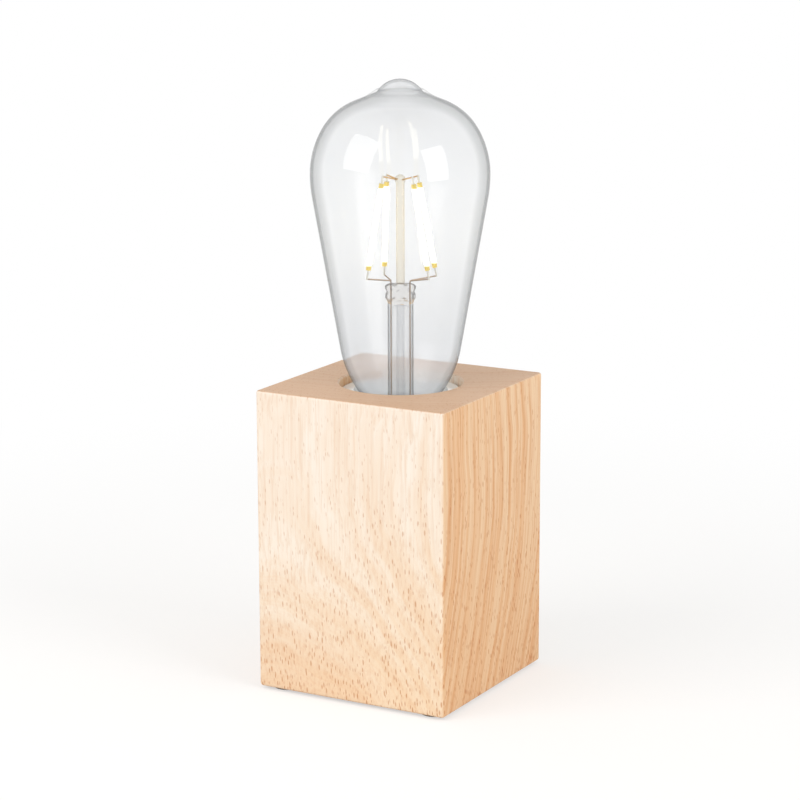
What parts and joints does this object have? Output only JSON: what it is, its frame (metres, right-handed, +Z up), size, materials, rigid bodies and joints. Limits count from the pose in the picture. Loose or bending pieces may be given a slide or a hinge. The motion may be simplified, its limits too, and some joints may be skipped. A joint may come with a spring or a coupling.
{
  "type": "bare bulb table lamp",
  "caption": "Table lamp: a square upright wood block with a porcelain lampholder sunk in its top and a clear filament bulb standing bare above it.",
  "frame": {"origin": "on the surface the lamp stands on, under the middle of the block", "axes": "+Z up through the bulb, -Y the front of the block, +Y its back with the cord hole, +X its right side"},
  "size_m": [0.076, 0.076, 0.2199],
  "materials": {
    "felt": "matt",
    "light_wood": "satin",
    "cover_board": "matt",
    "black_plastic": "matt",
    "zinc_steel": "satin",
    "spring_steel": "satin",
    "brass": "satin",
    "nickelled_brass": "satin",
    "copper": "satin",
    "porcelain": "gloss",
    "brown_insulation": "satin",
    "blue_insulation": "satin",
    "white_plastic": "satin",
    "cap_metal": "satin",
    "cap_glass": "gloss",
    "cement": "matt",
    "clear_glass": "gloss",
    "yellow_glass": "gloss",
    "phosphor": "matt",
    "tab_metal": "satin",
    "wire_metal": "satin",
    "circuit_board": "satin",
    "component": "satin"
  },
  "bodies": {
    "lamp_base": {"felt_pads": "felt", "wood_block": "light_wood", "cord_bush": "black_plastic", "cover_plate": "cover_board", "cover_screws": "zinc_steel", "threaded_tube": "zinc_steel", "tube_washer": "zinc_steel", "lower_tube_nut": "zinc_steel", "upper_tube_nut": "zinc_steel", "holder_body": "porcelain", "holder_bracket": "zinc_steel", "bracket_screws": "zinc_steel", "screw_shell": "nickelled_brass", "shell_rivets": "brass", "neutral_rivet": "brass", "live_rivet": "brass", "contact_strip": "brass", "contact_spring": "spring_steel", "neutral_terminal": "brass", "live_terminal": "brass", "terminal_screws": "zinc_steel", "connector_block": "white_plastic", "connector_barrels": "brass", "connector_clamp_screws": "zinc_steel", "connector_screw": "zinc_steel", "live_lead": "brown_insulation", "live_lead_core": "copper", "neutral_lead": "blue_insulation", "neutral_lead_core": "copper"},
    "sprung_contact": {"contact_plunger": "brass", "plunger_clip": "spring_steel"},
    "bulb_travel": {"cap_contact": "nickelled_brass"},
    "bulb": {"cap_shell": "cap_metal", "cap_insulator": "cap_glass", "cap_cement": "cement", "glass_envelope": "clear_glass", "stem": "clear_glass", "exhaust_tube": "clear_glass", "centre_post": "yellow_glass", "filament_1": "phosphor", "filament_2": "phosphor", "filament_3": "phosphor", "filament_4": "phosphor", "filament_tabs": "tab_metal", "upper_support_wires": "wire_metal", "left_lead_in_wire": "wire_metal", "left_branch_wire": "wire_metal", "right_lead_in_wire": "wire_metal", "right_branch_wire": "wire_metal", "driver_board": "circuit_board", "driver_capacitor": "component", "driver_resistor": "component", "driver_rectifier": "component", "live_feed_wire": "wire_metal", "neutral_feed_wire": "wire_metal"}
  },
  "joints": [
    {"name": "bulb_rise", "type": "slide", "parent": "lamp_base", "child": "bulb_travel", "axis": [0, 0, 1], "range_m": [0, 0.0363]},
    {"name": "bulb_turn", "type": "hinge", "parent": "bulb_travel", "child": "bulb", "pos_m": [0, 0, 0.077], "axis": [0, 0, 1], "range_deg": [0, 3600]},
    {"name": "contact_press", "type": "slide", "parent": "lamp_base", "child": "sprung_contact", "axis": [0, 0, 1], "range_m": [-0.0015, 0], "stiffness_N_per_m": 1500, "springref_m": 0.001, "deforming": ["contact_spring"]}
  ],
  "couplings": [
    {"joint": "bulb_rise", "follows": "bulb_turn", "m_per_rad": 0.00057757}
  ]
}
